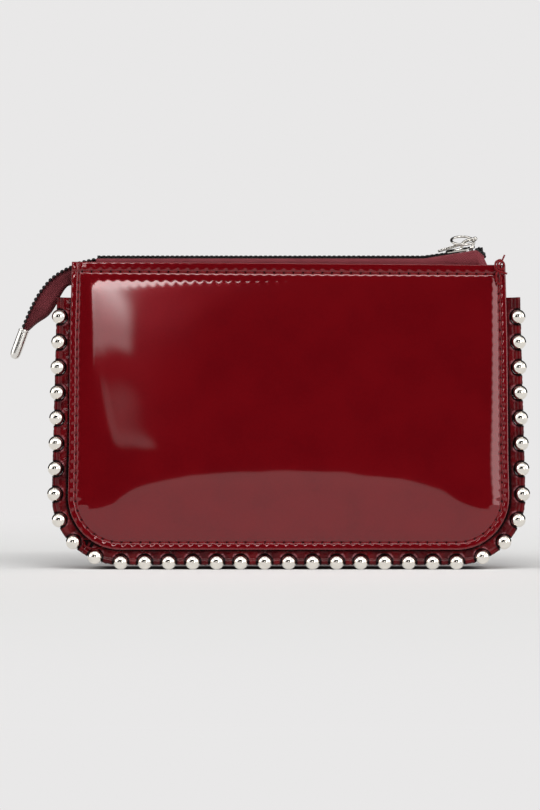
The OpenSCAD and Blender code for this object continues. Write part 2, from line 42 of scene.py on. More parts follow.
# ---------- sizes, in millimetres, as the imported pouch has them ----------

CORNER_R = 24.0
SPLAY = math.radians(1.3)
HEIGHT = 130.9
HALF_DEPTH = 12.5
PANEL_T = 1.4
LEAN = math.radians(2.2530)
BALL_R = 3.42                                     # balls as drawn here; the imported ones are 3.3
BEAD_OFFSET = 6.2                                 # line of the beads outside the panel's edge
STRIP_BACK = 2.2                                  # the strip's middle below the front panel's face
FLOOR_GAP = 9.59                                  # lower edge of the panels above the floor
TOP = FLOOR_GAP + HEIGHT
MID_Z = FLOOR_GAP + HEIGHT / 2
CX = 76.5
CZ = FLOOR_GAP + CORNER_R
BEAD_RUN_R = CORNER_R + BEAD_OFFSET
TOP_BEAD_Z = TOP - 25.2
STRIP_TOP = TOP - 16.2
PITCH = 4.35                                      # stitch pitch
SIDE_ROW = 3.3                                    # stitch row in from the panel's edge
TOP_ROW = 4.5                                     # top stitch row below the panel's top
CHAIN_Z = TOP + 2.1                               # middle of the teeth
TOOTH_PITCH = 2.25


# ---------- small helpers ----------

def clear():
    if bpy.context.object and bpy.context.object.mode != "OBJECT":
        bpy.ops.object.mode_set(mode="OBJECT")
    bpy.ops.object.select_all(action="DESELECT")


def pick(o):
    clear()
    o.select_set(True)
    bpy.context.view_layer.objects.active = o
    return o


def named(name):
    o = bpy.context.object
    o.name = o.data.name = name
    return o


def settle(o):
    """Puts the object's place into its mesh."""
    pick(o)
    bpy.ops.object.transform_apply(location=True, rotation=True, scale=True)
    return o


def apply(o, kind, **settings):
    """Adds a modifier, sets it and applies it."""
    pick(o)
    m = o.modifiers.new(kind.title(), kind)
    for key, value in settings.items():
        setattr(m, key, value)
    bpy.ops.object.modifier_apply(modifier=m.name)
    return o


def smooth(o, angle=30):
    pick(o)
    bpy.ops.object.shade_smooth_by_angle(angle=math.radians(angle))
    return o


def new_piece(name, verts, faces):
    mesh = bpy.data.meshes.new(name)
    mesh.from_pydata([Vector(v) * MM for v in verts], [], faces)
    mesh.update()
    o = bpy.data.objects.new(name, mesh)
    bpy.context.collection.objects.link(o)
    return o


def outward(o):
    pick(o)
    bpy.ops.object.mode_set(mode="EDIT")
    bpy.ops.mesh.select_all(action="SELECT")
    bpy.ops.mesh.normals_make_consistent(inside=False)
    bpy.ops.object.mode_set(mode="OBJECT")
    return o


def tube(name, points, radius, sides=8, taper=None):
    """A closed round cord through points in millimetres."""
    pts = [Vector(p) for p in points]
    verts, faces = [], []
    up = Vector((0, 1, 0))
    for i, p in enumerate(pts):
        way = (pts[min(i + 1, len(pts) - 1)] - pts[max(i - 1, 0)]).normalized()
        a = way.cross(up)
        if a.length < 1e-3:
            a = way.cross(Vector((1, 0, 0)))
        a.normalize()
        b = a.cross(way)
        up = b
        r = radius * (taper(i / (len(pts) - 1)) if taper else 1)
        for k in range(sides):
            t = 2 * math.pi * k / sides
            verts.append(p + (a * math.cos(t) + b * math.sin(t)) * r)
    n = len(pts)
    for i in range(n - 1):
        for k in range(sides):
            q = (k + 1) % sides
            faces.append((i * sides + k, i * sides + q, (i + 1) * sides + q, (i + 1) * sides + k))
    faces.append(tuple(range(sides)))
    faces.append(tuple(reversed(range((n - 1) * sides, n * sides))))
    o = new_piece(name, verts, faces)
    outward(o)
    smooth(o, 60)
    return o


def curve_through(points, steps=6):
    """Points of a smooth line through the given ones."""
    pts = [Vector(p) for p in points]
    pts = [pts[0] * 2 - pts[1]] + pts + [pts[-1] * 2 - pts[-2]]
    line = []
    for i in range(1, len(pts) - 2):
        a, b, c, d = pts[i - 1:i + 3]
        for k in range(steps):
            t = k / steps
            line.append(((b * 2) + (c - a) * t + (a * 2 - b * 5 + c * 4 - d) * t * t
                         + (b * 3 - a - c * 3 + d) * t ** 3) * 0.5)
    line.append(pts[-2])
    return line


def join(name, pieces):
    clear()
    for p in pieces:
        p.select_set(True)
    bpy.context.view_layer.objects.active = pieces[0]
    bpy.ops.object.join()
    return named(name)


def copy_of(o, name, place=Matrix.Identity(4)):
    c = o.copy()
    c.data = o.data.copy()
    c.name = c.data.name = name
    bpy.context.collection.objects.link(c)
    c.data.transform(place)
    return c


def cad_copy(node, name):
    """A copy of a CAD node with its corners merged, ready to be worked on."""
    o = copy_of(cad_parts[node], name)
    o.hide_render = o.hide_viewport = False
    for key in list(o.keys()):
        del o[key]
    o.parent = None
    o.matrix_world = Matrix.Identity(4)
    pick(o)
    bpy.ops.object.mode_set(mode="EDIT")
    bpy.ops.mesh.select_all(action="SELECT")
    bpy.ops.mesh.remove_doubles(threshold=1e-6)
    bpy.ops.mesh.dissolve_limited(angle_limit=math.radians(0.5))
    bpy.ops.object.mode_set(mode="OBJECT")
    return o


def finish_piece(o, material, body, slot, *nodes):
    o.data.materials.clear()
    o.data.materials.append(material)
    if body:
        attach(o, body)
    if nodes:
        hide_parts(*nodes)
    return o


# ---------- shader maths ----------

class Node:
    """A node tree's maker and, where it wraps a socket, an expression on it."""

    def __init__(self, tree, socket=None):
        self.tree, self.socket = tree, socket

    def make(self, kind, out=0, settings=None, **inputs):
        n = self.tree.nodes.new(kind)
        for key, value in (settings or {}).items():
            if key == "stops":
                ramp = n.color_ramp
                while len(ramp.elements) < len(value):
                    ramp.elements.new(0.5)
                for e, (at, colour) in zip(ramp.elements, value):
                    e.position = at
                    e.color = colour if hasattr(colour, "__len__") else (colour,) * 3 + (1,)
            else:
                setattr(n, key, value)
        for key, value in inputs.items():
            name = key.replace("_", " ")
            target = n.inputs[int(key[1:])] if key[0] == "i" and key[1:].isdigit() else n.inputs[name]
            self.put(target, value)
        return Node(self.tree, n.outputs[out])

    def put(self, target, value):
        if isinstance(value, Node):
            self.tree.links.new(value.socket, target)
        else:
            target.default_value = value

    def maths(self, operation, *values, clamp=False):
        n = self.tree.nodes.new("ShaderNodeMath")
        n.operation, n.use_clamp = operation, clamp
        for i, value in enumerate(values):
            self.put(n.inputs[i], value)
        return Node(self.tree, n.outputs[0])

    def __add__(self, o): return self.maths("ADD", self, o)
    def __radd__(self, o): return self.maths("ADD", o, self)
    def __sub__(self, o): return self.maths("SUBTRACT", self, o)
    def __rsub__(self, o): return self.maths("SUBTRACT", o, self)
    def __mul__(self, o): return self.maths("MULTIPLY", self, o)
    def __rmul__(self, o): return self.maths("MULTIPLY", o, self)
    def __truediv__(self, o): return self.maths("DIVIDE", self, o)
    def __pow__(self, o): return self.maths("POWER", self, o)
    def __abs__(self): return self.maths("ABSOLUTE", self)

    def step(self, low, high):
        """0 below low, 1 above high, smooth between."""
        return self.make("ShaderNodeMapRange", settings={"interpolation_type": "SMOOTHSTEP"},
                         Value=self, From_Min=low, From_Max=high)

    def within(self, low, high, soft):
        return self.step(low - soft, low + soft) * (1 - self.step(high - soft, high + soft))

    def split(self):
        n = self.tree.nodes.new("ShaderNodeSeparateXYZ")
        self.put(n.inputs[0], self)
        return [Node(self.tree, s) for s in n.outputs]

    def mix(self, a, b):
        """Colour a where this is 0, b where it is 1."""
        n = self.tree.nodes.new("ShaderNodeMix")
        n.data_type = "RGBA"
        self.put(n.inputs[0], self)
        self.put(n.inputs[6], a)
        self.put(n.inputs[7], b)
        return Node(self.tree, n.outputs[2])


def rgb(r, g, b):
    """A colour written in 0-255 display values, as linear light."""
    shares = [c / 255 for c in (r, g, b)]
    return tuple(c / 12.92 if c <= 10 / 255 else ((c + 0.055) / 1.055) ** 2.4 for c in shares) + (1,)


def surface(name, build, **fixed):
    """A Principled material. build(nodes, coordinates) returns what varies over the surface."""
    material = bpy.data.materials.new(name)
    material.use_nodes = True
    tree = material.node_tree
    shader = tree.nodes["Principled BSDF"]
    nodes = Node(tree)
    for key, value in fixed.items():
        shader.inputs[key.replace("_", " ")].default_value = value
    place = nodes.make("ShaderNodeTexCoord", out=3)
    for key, value in build(nodes, place).items():
        nodes.put(shader.inputs[key], value)
    return material


def noise_at(nodes, place, scale, detail=2.0, rough=0.5, stretch=(1, 1, 1)):
    at = nodes.make("ShaderNodeMapping", Vector=place, Scale=stretch)
    return nodes.make("ShaderNodeTexNoise", Vector=at, Scale=scale, Detail=detail, Roughness=rough)


def bump(nodes, height, distance, strength=1.0):
    return nodes.make("ShaderNodeBump", Height=height, Distance=distance, Strength=strength)


def patent(name, base, deep, waves=1.0):
    """Lacquered leather: deep colour under a clear gloss that lies in slow waves."""
    def build(nodes, place):
        slow = noise_at(nodes, place, 18, 1.0)
        cloud = noise_at(nodes, place, 60, 3.0)
        grain = noise_at(nodes, place, 900, 2.0)
        colour = (cloud * 0.7 + grain * 0.3).step(0.3, 0.7).mix(base, deep)
        # painted shade: the needle holes, from the hole attribute, go near black
        hole = nodes.make("ShaderNodeAttribute", out=2, settings={"attribute_name": "hole"})
        colour = hole.step(0.2, 0.7).mix(colour, rgb(26, 3, 6))
        height = slow * 0.6 + noise_at(nodes, place, 140, 2.0) * 0.012 * waves
        return {"Base Color": colour, "Roughness": 0.07 + grain * 0.05,
                "Normal": bump(nodes, height, 0.0006 * waves)}
    m = surface(name, build, Coat_Weight=1.0, Coat_Roughness=0.03, Coat_IOR=1.5, Specular_IOR_Level=0.32,
                Specular_Tint=(1, 0.12, 0.16, 1))
    return m


LEATHER = patent("patent_leather", rgb(104, 8, 15), rgb(95, 6, 13))
GUSSET = patent("gusset_patent", rgb(104, 9, 15), rgb(90, 6, 12), 1.6)


def build_thread(nodes, place):
    fibre = noise_at(nodes, place, 4000, 2.0)
    strand = nodes.make("ShaderNodeTexWave", out=1, Vector=place, Scale=900.0, Distortion=2.0)
    colour = fibre.mix(rgb(100, 8, 14), rgb(134, 18, 26))
    return {"Base Color": colour, "Roughness": 0.35 + fibre * 0.25,
            "Normal": bump(nodes, strand + fibre * 0.5, 0.00006, 0.8)}


THREAD = surface("sewing_thread", build_thread, Sheen_Weight=0.05, Specular_IOR_Level=0.14)


def polished(name, tint, rough, hair=0.02):
    """Bright plating with a faint haze."""
    def build(nodes, place):
        haze = noise_at(nodes, place, 260, 3.0)
        fine = noise_at(nodes, place, 1500, 2.0)
        return {"Base Color": haze.step(0.35, 0.75).mix(tint, tuple(c * 0.92 for c in tint[:3]) + (1,)),
                "Roughness": rough + haze * 0.04 + fine * 0.02,
                "Normal": bump(nodes, haze + fine * hair, 0.00001, 0.3)}
    return surface(name, build, Metallic=1.0)


BEAD_METAL = polished("polished_bead", rgb(240, 235, 226), 0.03)
SLIDER_METAL = polished("plated_slider", rgb(206, 202, 196), 0.06, 0.0)
CAP_METAL = polished("plated_cap", rgb(232, 229, 224), 0.2, 0.0)


def build_tape(nodes, place):
    """Herringbone weave: slanted ribs that turn at each narrow column."""
    x, y, z = place.split()
    run = x * 1900.0
    across = (z + y) * 1900.0
    column = abs((across / 3.2).maths("FRACT", across / 3.2) - 0.5) * 3.2
    rib = (run + column * 1.6).maths("SINE", (run + column * 1.6) * 2.6) * 0.5 + 0.5
    fuzz = noise_at(nodes, place, 2600, 2.0)
    cloud = noise_at(nodes, place, 120, 2.0)
    colour = (rib * 0.55 + fuzz * 0.45).mix(rgb(86, 24, 31), rgb(144, 64, 72))
    colour = (cloud.step(0.3, 0.8) * 0.5).mix(colour, rgb(104, 34, 42))
    return {"Base Color": colour, "Roughness": 0.62 + rib * 0.2,
            "Normal": bump(nodes, rib + fuzz * 0.6, 0.00012, 0.9)}


TAPE = surface("zip_tape_weave", build_tape, Sheen_Weight=0.08, Sheen_Roughness=0.4, Specular_IOR_Level=0.2)


def build_teeth(nodes, place):
    grain = noise_at(nodes, place, 1400, 2.0)
    return {"Base Color": grain.mix(rgb(9, 8, 9), rgb(22, 20, 21)), "Roughness": 0.22 + grain * 0.2,
            "Normal": bump(nodes, grain, 0.00003, 0.6)}


TEETH = surface("black_zip_teeth", build_teeth, Specular_IOR_Level=0.3)


def build_lining(nodes, place):
    x, _, z = place.split()
    warp = (x * 5200.0).maths("SINE", x * 5200.0) * 0.5 + 0.5
    weft = (z * 5200.0).maths("SINE", z * 5200.0) * 0.5 + 0.5
    fuzz = noise_at(nodes, place, 1800, 2.0)
    weave = warp * weft
    return {"Base Color": (weave * 0.6 + fuzz * 0.4).mix(rgb(22, 18, 20), rgb(48, 40, 43)),
            "Roughness": 0.7 + fuzz * 0.2, "Normal": bump(nodes, weave + fuzz, 0.00008, 0.7)}


LINING = surface("black_lining_cloth", build_lining, Sheen_Weight=0.2)


def build_board(nodes, place):
    fibre = noise_at(nodes, place, 700, 4.0)
    return {"Base Color": fibre.mix(rgb(176, 156, 128), rgb(206, 190, 164)), "Roughness": 0.8 + fibre * 0.1,
            "Normal": bump(nodes, fibre, 0.00008, 0.6)}


BOARD = surface("grey_board", build_board)


# ---------- panels ----------

def side_x(r, z):
    return CX + r * math.cos(SPLAY) - (z - CZ - r * math.sin(SPLAY)) * math.tan(SPLAY)


def half_loop(g):
    """Right half of the panel's outline taken in by g, from the bottom's middle to the top's middle."""
    r = CORNER_R - g
    top = TOP - g
    p = [(CX * i / 150, CZ - r) for i in range(150)]
    turn = math.pi / 2 + SPLAY
    p += [(CX + r * math.sin(turn * i / 66), CZ - r * math.cos(turn * i / 66)) for i in range(66)]
    x0, z0 = CX + r * math.cos(SPLAY), CZ + r * math.sin(SPLAY)
    x1 = side_x(r, top)
    p += [(x0 + (x1 - x0) * i / 210, z0 + (top - z0) * i / 210) for i in range(210)]
    p += [(x1 * (1 - i / 192), top) for i in range(192)]
    return p


def full_loop(g):
    right = half_loop(g)
    left = [(-x, z) for x, z in reversed(right[1:])]
    return right + [(0.0, TOP - g)] + left


def edge_distance(x, z):
    """Distance in from the panel's sides and bottom, not its top."""
    x = abs(x)
    if z < CZ and x > CX:
        return CORNER_R - math.hypot(x - CX, z - CZ)
    side = (side_x(CORNER_R, z) - x) * math.cos(SPLAY)
    return min(side, z - FLOOR_GAP) if z < CZ + 40 else side


def row_place(x, z):
    """How far along the side stitch row a point lies, from the bottom's middle."""
    x = abs(x)
    r = CORNER_R - SIDE_ROW
    turn = math.pi / 2 + SPLAY
    if z < CZ and x > CX:
        return CX + r * math.atan2(x - CX, CZ - z)
    if z < CZ or x < CX:
        if z - FLOOR_GAP < side_x(CORNER_R, z) - x:
            return x
    return CX + r * turn + (z - CZ) / math.cos(SPLAY)


def rise(q, w):
    return 1 - math.exp(-q / w) if q > 0 else 0.0


def crown(x, z):
    """Slow swelling of the whole face."""
    u = x / 100.0
    v = (z - MID_Z) / 65.45
    body = max(0.0, 1 - u * u) ** 0.9 * max(0.0, 1 - v * v)
    low = math.exp(-((z - 40) / 26.0) ** 2) * max(0.0, 1 - u ** 4)
    return 1.9 * body + 1.0 * low


def face_height(x, z):
    """How far the leather stands out from the flat panel."""
    qs = edge_distance(x, z) - SIDE_ROW
    qt = TOP - z - TOP_ROW
    inner = 0.95 * rise(qs, 2.3) * rise(qt, 1.7)
    rim = 0.34 * rise(-qs, 0.8) + 0.30 * rise(-qt, 0.9) * (1 if qs > 0 else 0.2)
    h = crown(x, z) * rise(qs, 6) * rise(qt, 6) + inner + rim
    # the leather is drawn in along the rows and most of all at the holes
    s = row_place(x, z)
    wave = math.cos(2 * math.pi * s / PITCH)
    near = math.exp(-abs(qs) / 1.3)
    h += 0.13 * wave * near - 0.28 * math.exp(-(qs / 0.42) ** 2)
    if abs(qs) < 1.5:
        hole = (s / PITCH - 0.5 - round(s / PITCH - 0.5)) * PITCH
        h -= 0.45 * math.exp(-((qs / 0.36) ** 2 + (hole / 0.42) ** 2))
    if qt < 8:
        wave = math.cos(2 * math.pi * x / PITCH)
        h += 0.15 * wave * math.exp(-abs(qt) / 1.3) - 0.28 * math.exp(-(qt / 0.42) ** 2)
        if abs(qt) < 1.5:
            hole = (x / PITCH - 0.5 - round(x / PITCH - 0.5)) * PITCH
            h -= 0.45 * math.exp(-((qt / 0.36) ** 2 + (hole / 0.42) ** 2))
    return h


def needle_hole_shade(x, z):
    """Painted shade of the needle holes: 1 in a hole, 0 away from the rows."""
    deep = 0.0
    qs = edge_distance(x, z) - SIDE_ROW
    qt = TOP - z - TOP_ROW
    if abs(qs) < 1.2 and qt > -1:
        s = row_place(x, z)
        gap = (s / PITCH - 0.5 - round(s / PITCH - 0.5)) * PITCH
        deep = math.exp(-((qs / 0.5) ** 2 + (gap / 0.62) ** 2))
    if abs(qt) < 1.2 and qs > -1:
        gap = (x / PITCH - 0.5 - round(x / PITCH - 0.5)) * PITCH
        deep = max(deep, math.exp(-((qt / 0.5) ** 2 + (gap / 0.62) ** 2)))
    return deep


def lean_in(x, z, out):
    """From the flat drawing to the front's lean; out is proud of the panel's outer face."""
    c, s = math.cos(LEAN), math.sin(LEAN)
    h = z - FLOOR_GAP
    return (x, -HALF_DEPTH - out * c + h * s, FLOOR_GAP + h * c + out * s)


def stand(x, z, out):
    """The same for the panel, whose top edge falls a little towards the slider."""
    fall = 1.5 * max(0.0, min(1.0, (x + 80) / 180)) * max(0.0, (z - TOP + 24.2) / 24.2)
    spread = 1 + 0.010 * max(0.0, min(1.0, (z - 50) / 55))
    sag = 0.6 * max(0.0, 1 - (z - FLOOR_GAP) / 30)
    return lean_in(x * spread, z - fall - sag, out)


def panel():
    insets = [0.12, 0.3, 0.6, 1.0, 1.5, 2.0, 2.4, 2.65, 2.85, 3.0, 3.12, 3.24, 3.36, 3.5, 3.65, 3.8, 3.95,
              4.1, 4.22, 4.34, 4.46, 4.58, 4.7, 4.85, 5.0, 5.2, 5.5, 5.9, 6.4, 7.0, 7.8, 8.8, 10.0, 12.0]
    verts, faces = [], []
    holes = []

    def ring(points, flat=None):
        start = len(verts)
        verts.extend(points)
        holes.extend([needle_hole_shade(x, z) for x, z in flat] if flat else [0.0] * len(points))
        return list(range(start, len(verts)))

    def bridge(a, b):
        n = len(a)
        for i in range(n):
            faces.append((a[i], a[(i + 1) % n], b[(i + 1) % n], b[i]))

    back_in = ring([stand(x, z, -PANEL_T) for x, z in full_loop(6.0)])
    back = ring([stand(x, z, -PANEL_T) for x, z in full_loop(0.25)])
    wall = ring([stand(x, z, -PANEL_T + 0.25) for x, z in full_loop(0.0)])
    lip = ring([stand(x, z, face_height(x, z) * 0.5 - 0.35) for x, z in full_loop(0.0)])
    bridge(back_in, back)
    bridge(back, wall)
    bridge(wall, lip)
    last = lip
    for g in insets:
        drop = 0.14 if g < 0.2 else 0.04 if g < 0.4 else 0.0
        this = ring([stand(x, z, face_height(x, z) - drop) for x, z in full_loop(g)], full_loop(g))
        bridge(last, this)
        last = this
    # the middle of the face is wider spaced
    outline = full_loop(12.0)
    step = 6
    count = len(outline) // step
    rings = 30
    coarse = None
    for k in range(1, rings):
        t = 1 - k / rings
        pts = []
        for i in range(count):
            x, z = outline[i * step]
            pts.append((x * t, MID_Z + (z - MID_Z) * t))
        this = ring([stand(x, z, face_height(x, z)) for x, z in pts])
        if coarse is None:
            for i in range(count):
                a, b = this[i], this[(i + 1) % count]
                fine = [last[(i * step + j) % len(last)] for j in range(step + 1)]
                for j in range(step):
                    faces.append((fine[j], fine[j + 1], b if j >= step // 2 else a))
                faces.append((fine[step // 2], b, a))
        else:
            bridge(coarse, this)
        coarse = this
    mid = ring([stand(0, MID_Z, face_height(0, MID_Z))])[0]
    for i in range(count):
        faces.append((coarse[i], coarse[(i + 1) % count], mid))
    faces.append(tuple(reversed(back_in)))
    o = new_piece("front_panel_leather", verts, faces)
    # painted shade of the needle holes, kept in the hole attribute
    layer = o.data.attributes.new("hole", "FLOAT", "POINT")
    layer.data.foreach_set("value", holes)
    outward(o)
    smooth(o, 50)
    return o


def mirrored(o, name):
    """The rear copy of a front piece."""
    c = copy_of(o, name, Matrix.Scale(-1, 4, (0, 1, 0)))
    c.data.flip_normals()
    return c


# ---------- stitches ----------

def edge_point(r, d):
    """Point and heading at distance d from the bottom's middle, on the line of corner radius r."""
    turn = math.pi / 2 + SPLAY
    s, d = (1 if d >= 0 else -1), abs(d)
    if d <= CX:
        p = (d, CZ - r, 0.0)
    elif d <= CX + r * turn:
        a = (d - CX) / r
        p = (CX + r * math.sin(a), CZ - r * math.cos(a), a)
    else:
        e = d - CX - r * turn
        c, n = math.cos(SPLAY), math.sin(SPLAY)
        p = (CX + r * c - e * n, CZ + r * n + e * c, turn)
    return (s * p[0], p[1], s * p[2])


def one_stitch():
    """A drawn-down stitch along X, its outer side towards -Y."""
    clear()
    bpy.ops.mesh.primitive_uv_sphere_add(segments=8, ring_count=8, radius=1)
    o = named("stitch")
    o.rotation_euler = (0, math.pi / 2, 0)
    settle(o)
    for v in o.data.vertices:
        v.co.x *= PITCH * 0.47 * MM
        v.co.y *= 0.33 * MM
        v.co.z *= 0.36 * MM
        v.co.y += 0.42 * MM * (v.co.x / (PITCH * 0.47 * MM)) ** 2
    return o


def sew(name, places):
    """Copies of the stitch at (x, z, heading) on the front panel."""
    model = one_stitch()
    row = []
    for i, (x, z, heading) in enumerate(places):
        h = face_height(x, z)
        at = Vector(stand(x, z, h + 0.10)) * MM
        slant = math.radians(4.0 * math.sin(i * 12.9898))
        turn = Matrix.Rotation(-LEAN, 4, "X") @ Matrix.Rotation(-heading + slant, 4, "Y")
        row.append(copy_of(model, "stitch_copy", Matrix.Translation(at) @ turn))
    bpy.data.objects.remove(model)
    o = join(name, row)
    smooth(o, 60)
    return o


# ---------- beads ----------

def one_bead():
    """A polished ball, drilled along X with a small turned-in rim at each hole."""
    clear()
    bpy.ops.mesh.primitive_uv_sphere_add(segments=40, ring_count=26, radius=BALL_R * MM)
    o = named("bead")
    pick(o)
    bpy.ops.object.mode_set(mode="EDIT")
    bm = bmesh.from_edit_mesh(o.data)
    for v in bm.verts:
        v.select = abs(v.co.z) > BALL_R * MM * 0.985
    bm.select_flush(True)
    bpy.ops.mesh.delete(type="VERT")
    bpy.ops.mesh.select_all(action="DESELECT")
    bm = bmesh.from_edit_mesh(o.data)
    for e in bm.edges:
        e.select = e.is_boundary
    bmesh.update_edit_mesh(o.data)
    bpy.ops.mesh.extrude_edges_move()
    bpy.ops.transform.resize(value=(0.8, 0.8, 0.97))
    bpy.ops.mesh.extrude_edges_move()
    bpy.ops.transform.resize(value=(0.9, 0.9, 0.55))
    bpy.ops.object.mode_set(mode="OBJECT")
    o.rotation_euler = (0, math.pi / 2, 0)
    settle(o)
    outward(o)
    smooth(o, 40)
    return o


def string_beads(name, model, distances):
    row = []
    for d in distances:
        x, z, a = edge_point(BEAD_RUN_R, d)
        at = Vector(lean_in(x, z + 0.1, -STRIP_BACK + 0.25)) * MM
        place = Matrix.Translation(at) @ Matrix.Rotation(-LEAN, 4, "X") @ Matrix.Rotation(-a, 4, "Y")
        row.append(copy_of(model, "bead_copy", place))
    return join(name, row)


TURN = math.pi / 2 + SPLAY
ARC = BEAD_RUN_R * TURN
SIDE_RUN = (TOP_BEAD_Z - CZ - BEAD_RUN_R * math.sin(SPLAY)) / math.cos(SPLAY)
SIDE_AT = [CX + ARC * i / 4 for i in (1, 2, 3)] + [CX + ARC + SIDE_RUN * i / 7 for i in range(8)]
BOTTOM_AT = [-CX + 2 * CX * i / 14 for i in range(15)]

bead = one_bead()
LEFT_AT = [-d for d in SIDE_AT]
for name, at in (("beads_left", LEFT_AT), ("beads_bottom", BOTTOM_AT), ("beads_right", SIDE_AT)):
    row = string_beads(name + "_polished", bead, at)
    finish_piece(row, BEAD_METAL, "front_half", "bead_metal", name)
bpy.data.objects.remove(bead)


# ---------- folded strip that holds the beads ----------

def run_point(d):
    """Place and outward direction on the line of beads."""
    x, z, a = edge_point(BEAD_RUN_R, d)
    return Vector((x, 0, z)), Vector((math.sin(a), 0, -math.cos(a)))


def strip(name, start, end, beads):
    """The strip between two places along the line of beads: folded round the cord, with a
    turned edge round each ball's hole and a creased channel up to the panel's edge."""
    stations = max(8, int(abs(end - start) / 0.36))
    inner = -BEAD_OFFSET - 5.7
    reach = [0.0, 0.2, 0.36, 0.44] + [0.5 + 0.04 * k for k in range(12)] + [0.975, 1.0]
    verts, faces, deep, painted_glints = [], [], [], []
    for i in range(stations + 1):
        d = start + (end - start) * i / stations
        p, out = run_point(d)
        near = min(beads, key=lambda b: abs(d - b))
        gap = abs(d - near)
        mouth = -math.sqrt(max(0.0, 3.38 ** 2 - gap * gap)) if gap < 3.38 else 0.0
        blend_in = max(0.0, min(1.0, (gap - 2.8) / 0.45))
        edge = 1.35 - 0.22 * noise.noise(Vector((d * 0.8, 3.1, 0.0)))
        limit = mouth * (1 - blend_in) + edge * blend_in if gap < 3.3 else edge
        ring = []
        for side in (-1, 1):
            row = []
            for k in reach:
                u = inner + (limit - inner) * k
                half = 0.62
                if abs(u) < 1.4:
                    half = max(half, math.sqrt(1.96 - u * u))
                # waist behind the fold, then the creases of the gathered channel
                half -= 0.22 * math.exp(-((u + 2.0) / 0.5) ** 2)
                crease = noise.noise(Vector((d * 0.55, u * 0.35, 7.0 * side)))
                half += 0.12 * crease * max(0.0, min(1.0, (-u - 1.4) / 1.5))
                # turned edge standing round the ball's hole
                ridge = math.hypot(d - near, u) - 4.2
                lip = math.exp(-(ridge / 0.34) ** 2) * (1 if u < -1.2 else 0)
                half += 0.16 * lip
                tip = max(0.0, limit - u)
                half *= min(1.0, math.sqrt(tip / 0.4)) if tip < 0.4 else 1.0
                # painted highlight: pink glints on the lip at two places round each ball's hole
                glint = lip * max(0.0, 1 - abs(abs(math.atan2(d - near, -u)) - 0.75) / 0.42)
                row.append((u, side * half, glint))
            ring += row if side < 0 else list(reversed(row))[1:]
        for u, y, lip in ring:
            v = p + out * u
            hole = math.hypot(d - near, u)
            verts.append(lean_in(v.x, v.z, -STRIP_BACK - y))
            # painted shade: near black in the channel up to the panel's edge and in a ring round each
            # ball's hole
            deep.append(max(0.0, min(1.0, (-u - 4.5) / 0.7), 1 - max(0.0, hole - 3.95) / 0.3))
            painted_glints.append(lip)
    n = len(reach) * 2 - 1
    for i in range(stations):
        for k in range(n):
            a, b = i * n + k, i * n + (k + 1) % n
            faces.append((a, b, b + n, a + n))
    faces.append(tuple(range(n)))
    faces.append(tuple(reversed(range(stations * n, stations * n + n))))
    o = new_piece(name, verts, faces)
    # the channel attribute holds that painted shade
    layer = o.data.attributes.new("channel", "FLOAT", "POINT")
    layer.data.foreach_set("value", deep)
    # the lip attribute holds only the painted highlight glints
    layer = o.data.attributes.new("lip", "FLOAT", "POINT")
    layer.data.foreach_set("value", painted_glints)
    outward(o)
    smooth(o, 60)
    return o


def build_trim(nodes, place):
    cloud = noise_at(nodes, place, 160, 2.0)
    grain = noise_at(nodes, place, 900, 2.0)
    channel = nodes.make("ShaderNodeAttribute", out=2, settings={"attribute_name": "channel"})
    lip = nodes.make("ShaderNodeAttribute", out=2, settings={"attribute_name": "lip"})
    colour = cloud.step(0.3, 0.7).mix(rgb(98, 7, 14), rgb(64, 4, 9))
    # painted highlight: pink glints from the lip attribute
    colour = (lip * noise_at(nodes, place, 260, 2.0).step(0.38, 0.55)).mix(colour, rgb(205, 130, 138))
    # painted shade: near black where the channel attribute is set, with the coat taken off there
    colour = channel.mix(colour, rgb(10, 2, 3))
    return {"Base Color": colour, "Roughness": 0.3 + grain * 0.15, "Coat Weight": 0.24 - channel * 0.22,
            "Normal": bump(nodes, cloud * 0.8 + grain * 0.06, 0.0005)}


STRIP = surface("strip_patent", build_trim, Coat_Roughness=0.08, Coat_IOR=1.5, Specular_IOR_Level=0.05)
ALL_AT = BOTTOM_AT + SIDE_AT + LEFT_AT
SPLICE = CX + ARC * 1.5 / 4
STRIP_END = CX + ARC + (STRIP_TOP - CZ - BEAD_RUN_R * math.sin(SPLAY)) / math.cos(SPLAY)
long_strip = strip("bead_strip_main", -SPLICE, STRIP_END, ALL_AT)
short_strip = strip("bead_strip_left", -STRIP_END, -SPLICE - 0.12, ALL_AT)


def splice_loop():
    """The left strip's end, where its fold stands open in an oval."""
    verts, faces = [], []
    around = 40
    section = [(-0.42, -1.2), (0.0, -1.55), (0.42, -1.2), (0.42, 1.5), (-0.42, 1.5)]
    for i in range(around):
        t = 2 * math.pi * i / around
        wobble = 1 + 0.10 * math.sin(3 * t + 0.6) + 0.06 * math.sin(5 * t)
        for out, y in section:
            a = (4.5 + out) * wobble * math.cos(t)
            b = (2.0 + out) * wobble * math.sin(t)
            turn = math.radians(-17)
            x = -89.4 + a * math.cos(turn) - b * math.sin(turn)
            z = 11.6 + a * math.sin(turn) + b * math.cos(turn)
            verts.append(lean_in(x, z, -STRIP_BACK + 0.35 - y))
    n = len(section)
    for i in range(around):
        j = (i + 1) % around
        for k in range(n):
            q = (k + 1) % n
            faces.append((i * n + k, i * n + q, j * n + q, j * n + k))
    o = new_piece("splice_loop", verts, faces)
    outward(o)
    smooth(o, 50)
    return o


